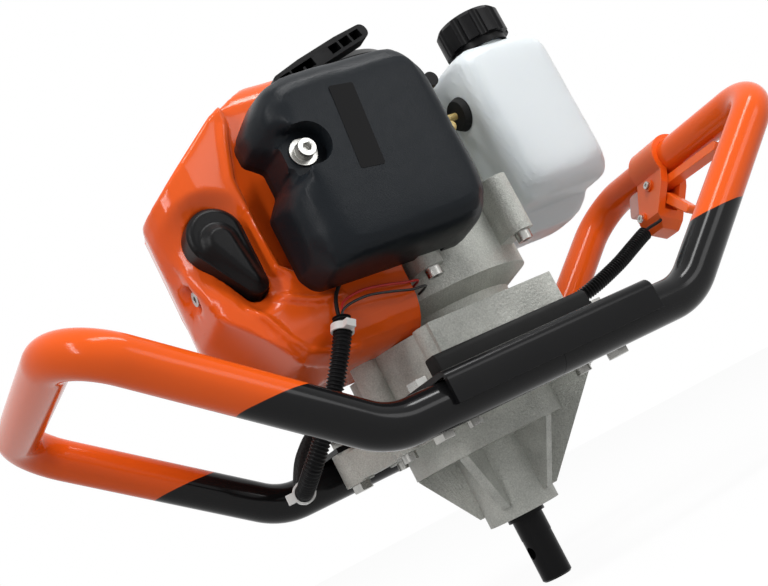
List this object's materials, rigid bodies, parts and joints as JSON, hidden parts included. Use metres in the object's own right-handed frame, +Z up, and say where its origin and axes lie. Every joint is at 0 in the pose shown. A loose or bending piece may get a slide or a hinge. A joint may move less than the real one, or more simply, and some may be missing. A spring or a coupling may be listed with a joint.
{
  "type": "earth auger power head",
  "caption": "Two-hand petrol earth auger power head: small engine on a reduction gearbox in a bent tube frame, with a pinned drive shaft pointing down.",
  "frame": {"origin": "centre of the cross-pin hole of the output shaft", "axes": "+Z up along the output shaft's axis, +X to the operator's throttle grip, which holds the fuel tank side, +Y away from the air filter"},
  "size_m": [0.5333, 0.2324, 0.3577],
  "materials": {
    "orange_paint": "gloss",
    "orange_plastic": "gloss",
    "black_paint": "gloss",
    "cast_alloy": "as cast",
    "black_oxide": "satin",
    "steel": "machined",
    "zinc": "zinc plated",
    "black_rubber": "matt",
    "black_plastic": "satin",
    "tank_plastic": "translucent",
    "button_plastic": "translucent",
    "ceramic": "glazed",
    "rope": "woven",
    "foam": "open foam"
  },
  "bodies": {
    "frame": {"left_handle": "orange_paint", "right_handle": "orange_paint", "front_saddle_plate": "black_paint", "rear_saddle_plate": "black_paint", "front_rubber_mount": "black_rubber", "rear_rubber_mount": "black_rubber", "frame_bolts": "zinc", "gearbox_lower_case": "cast_alloy", "gearbox_upper_case": "cast_alloy", "gearbox_bolts": "zinc", "oil_seal": "black_rubber", "output_bearings": "steel", "layshaft_bearings": "steel", "drum_bearing": "steel", "clutch_housing": "cast_alloy", "housing_bolts": "zinc", "crankcase": "cast_alloy", "engine_cylinder": "cast_alloy", "spark_plug": "ceramic", "spark_plug_boot": "black_rubber", "engine_cover": "orange_plastic", "cover_screws": "zinc", "muffler": "steel", "intake_block": "black_plastic", "carburettor": "cast_alloy", "air_filter_base": "black_plastic", "filter_element": "foam", "air_filter_cover": "black_plastic", "filter_cover_bolt": "zinc", "recoil_housing": "black_plastic", "recoil_screws": "zinc", "fuel_tank": "tank_plastic", "tank_grommet": "black_rubber", "fuel_line": "black_rubber", "throttle_housing": "orange_plastic", "unit_screws": "zinc", "wiring_conduit": "black_plastic", "cable_ties": "tank_plastic", "throttle_cable": "black_plastic", "stop_wires": "black_plastic"},
    "output": {"output_shaft": "black_oxide", "output_gear": "steel"},
    "idler": {"layshaft": "steel", "layshaft_gear": "steel"},
    "drum": {"clutch_drum": "steel"},
    "crank": {"crankshaft": "steel", "clutch_rotor": "steel", "flywheel_fan": "cast_alloy"},
    "shoe_left": {"left_clutch_shoe": "cast_alloy"},
    "shoe_right": {"right_clutch_shoe": "cast_alloy"},
    "trigger": {"throttle_trigger": "orange_plastic"},
    "lockout": {"lockout_lever": "orange_plastic"},
    "throttle": {"throttle_arm": "steel"},
    "button": {"stop_button": "button_plastic"},
    "choke": {"choke_lever": "black_plastic"},
    "primer": {"primer_bulb": "tank_plastic"},
    "pull": {"starter_grip": "black_plastic", "starter_rope": "rope"},
    "pulley": {"recoil_pulley": "tank_plastic"},
    "cap": {"fuel_cap": "black_plastic"}
  },
  "joints": [
    {"name": "output_spin", "type": "hinge", "parent": "frame", "child": "output", "pos_m": [0, 0, 0], "axis": [0, 0, 1], "continuous": true},
    {"name": "idler_spin", "type": "hinge", "parent": "frame", "child": "idler", "pos_m": [0.03882, -0.02468, 0.1085], "axis": [0, 0, 1], "continuous": true},
    {"name": "drum_spin", "type": "hinge", "parent": "frame", "child": "drum", "pos_m": [0.014, 0, 0.1385], "axis": [0, 0, 1], "continuous": true},
    {"name": "crank_spin", "type": "hinge", "parent": "frame", "child": "crank", "pos_m": [0.014, 0, 0.1985], "axis": [0, 0, 1], "continuous": true},
    {"name": "right_shoe_fling", "type": "slide", "parent": "crank", "child": "shoe_right", "axis": [1, 0, 0], "range_m": [0, 0.0017], "stiffness_N_per_m": 1500},
    {"name": "left_shoe_fling", "type": "slide", "parent": "crank", "child": "shoe_left", "axis": [-1, 0, 0], "range_m": [0, 0.0017], "stiffness_N_per_m": 1500},
    {"name": "throttle_squeeze", "type": "hinge", "parent": "frame", "child": "trigger", "pos_m": [0.23444, -0.002, 0.17413], "axis": [-0.866, 0, 0.5], "range_deg": [0, 22], "stiffness_Nm_per_rad": 0.15},
    {"name": "lockout_squeeze", "type": "hinge", "parent": "frame", "child": "lockout", "pos_m": [0.24144, 0.006, 0.18625], "axis": [-0.866, 0, 0.5], "range_deg": [0, 4], "stiffness_Nm_per_rad": 0.5},
    {"name": "throttle_valve", "type": "hinge", "parent": "frame", "child": "throttle", "pos_m": [0.002, -0.06, 0.2745], "axis": [0, 0, 1], "range_deg": [0, 66]},
    {"name": "stop_press", "type": "slide", "parent": "frame", "child": "button", "axis": [0, -1, 0], "range_m": [0, 0.003], "stiffness_N_per_m": 300},
    {"name": "choke_turn", "type": "hinge", "parent": "frame", "child": "choke", "pos_m": [0.024, -0.074, 0.2845], "axis": [0, -1, 0], "range_deg": [0, 60]},
    {"name": "primer_press", "type": "slide", "parent": "frame", "child": "primer", "axis": [0, 0, 1], "range_m": [0, 0.0045], "stiffness_N_per_m": 300},
    {"name": "rope_pull", "type": "slide", "parent": "frame", "child": "pull", "axis": [0, -1, 0], "range_m": [0, 0.5], "stiffness_N_per_m": 12},
    {"name": "pulley_spin", "type": "hinge", "parent": "frame", "child": "pulley", "pos_m": [0.014, 0, 0.3235], "axis": [0, 0, 1], "range_deg": [0, 754]},
    {"name": "cap_turn", "type": "hinge", "parent": "frame", "child": "cap", "pos_m": [0.117, -0.037, 0.3235], "axis": [0, 0, 1], "range_deg": [0, 540]}
  ],
  "couplings": [
    {"joint": "idler_spin", "follows": "output_spin", "ratio": -4.75},
    {"joint": "drum_spin", "follows": "output_spin", "ratio": 28.5},
    {"joint": "left_shoe_fling", "follows": "right_shoe_fling", "ratio": 1},
    {"joint": "throttle_valve", "follows": "throttle_squeeze", "ratio": 3},
    {"joint": "pulley_spin", "follows": "rope_pull", "rad_per_m": 26.316}
  ]
}
